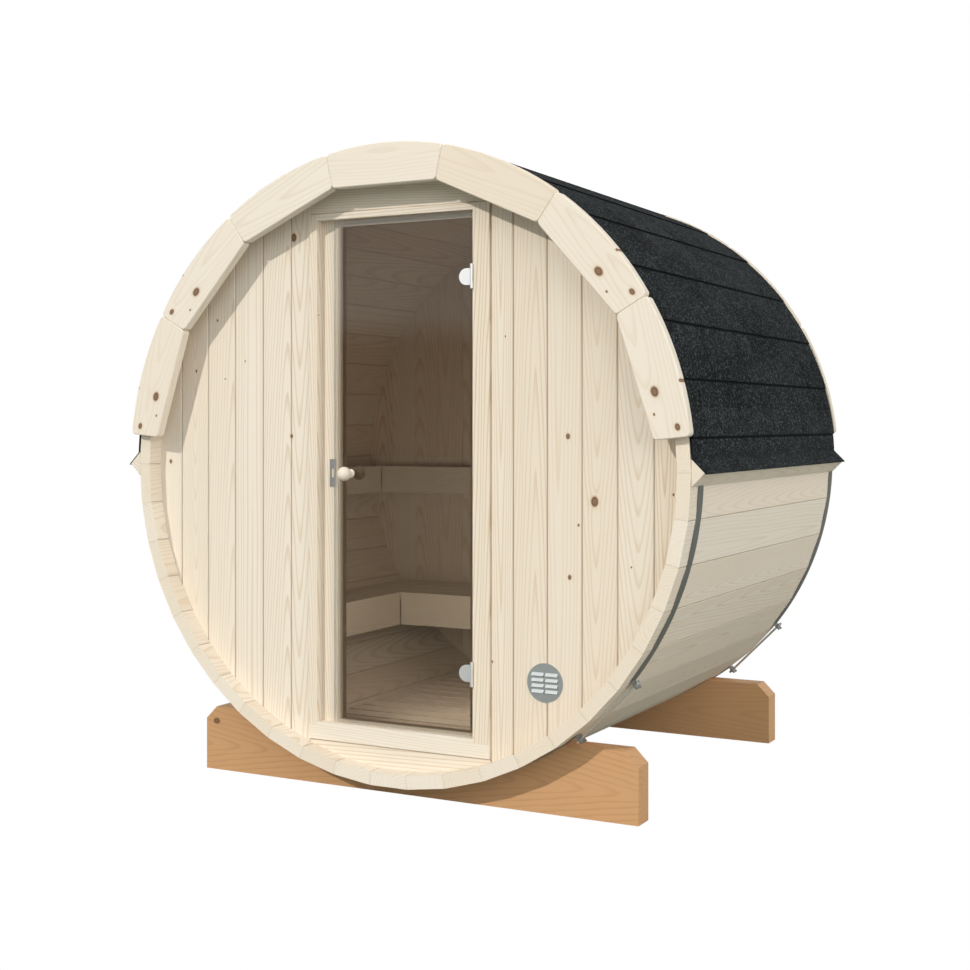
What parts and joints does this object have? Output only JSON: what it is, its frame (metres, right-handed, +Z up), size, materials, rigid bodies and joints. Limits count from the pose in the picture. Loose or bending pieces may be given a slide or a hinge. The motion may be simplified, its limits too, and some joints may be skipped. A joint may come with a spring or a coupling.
{
  "type": "barrel sauna",
  "caption": "Round timber barrel sauna on two cradles, with a tinted glass door, shingle roof, steel hoops, benches and a low vent.",
  "frame": {"origin": "on the ground, below the middle of the barrel: the bottom centre of the bounding box", "axes": "front with the door faces -Y, the barrel axis runs along Y, +X to the right as seen from the front, +Z up"},
  "size_m": [2.0912, 1.579, 2.058],
  "materials": {
    "stave_wood": "planed, unfinished",
    "wall_wood": "planed, unfinished",
    "frame_wood": "planed, unfinished",
    "arch_wood": "planed, unfinished",
    "bench_wood": "planed, unfinished",
    "knob_wood": "turned, smooth",
    "cradle_wood": "stained, satin",
    "bitumen": "mineral granules",
    "tinted_glass": "bronze tinted, clear",
    "steel": "stainless",
    "hinge_metal": "satin chrome",
    "vent_metal": "satin"
  },
  "bodies": {
    "sauna": {"staves_bottom": "stave_wood", "staves_lower_right": "stave_wood", "staves_right": "stave_wood", "staves_upper_right": "stave_wood", "staves_top": "stave_wood", "staves_upper_left": "stave_wood", "staves_left": "stave_wood", "staves_lower_left": "stave_wood", "front_wall_right": "wall_wood", "front_wall_left": "wall_wood", "front_wall_above_door": "wall_wood", "front_wall_below_door": "wall_wood", "back_wall": "wall_wood", "door_jamb_left": "frame_wood", "door_jamb_right": "frame_wood", "door_head": "frame_wood", "door_sill": "frame_wood", "strike_plate": "steel", "hinge_leaf_upper": "hinge_metal", "hinge_leaf_lower": "hinge_metal", "vent_grille": "vent_metal", "front_arch": "arch_wood", "back_arch": "arch_wood", "roof_felt": "bitumen", "roof_shingles_right": "bitumen", "roof_shingles_left": "bitumen", "roof_ridge_cap": "bitumen", "eave_batten_right": "frame_wood", "eave_batten_left": "frame_wood", "hoop_front": "steel", "hoop_back": "steel", "hoop_rods_front": "steel", "hoop_rods_back": "steel", "cradle_front": "cradle_wood", "cradle_back": "cradle_wood", "floor_duckboard": "bench_wood", "bench_left": "bench_wood", "bench_back": "bench_wood", "back_rest_back": "bench_wood", "back_rest_left": "bench_wood"},
    "door": {"door_glass": "tinted_glass", "door_knobs": "knob_wood", "hinge_clamp_upper": "hinge_metal", "hinge_clamp_lower": "hinge_metal"}
  },
  "joints": [
    {"name": "door_hinge", "type": "hinge", "parent": "sauna", "child": "door", "pos_m": [0.2725, -0.7125, 1.045], "axis": [0, 0, 1], "range_deg": [0, 105]}
  ]
}
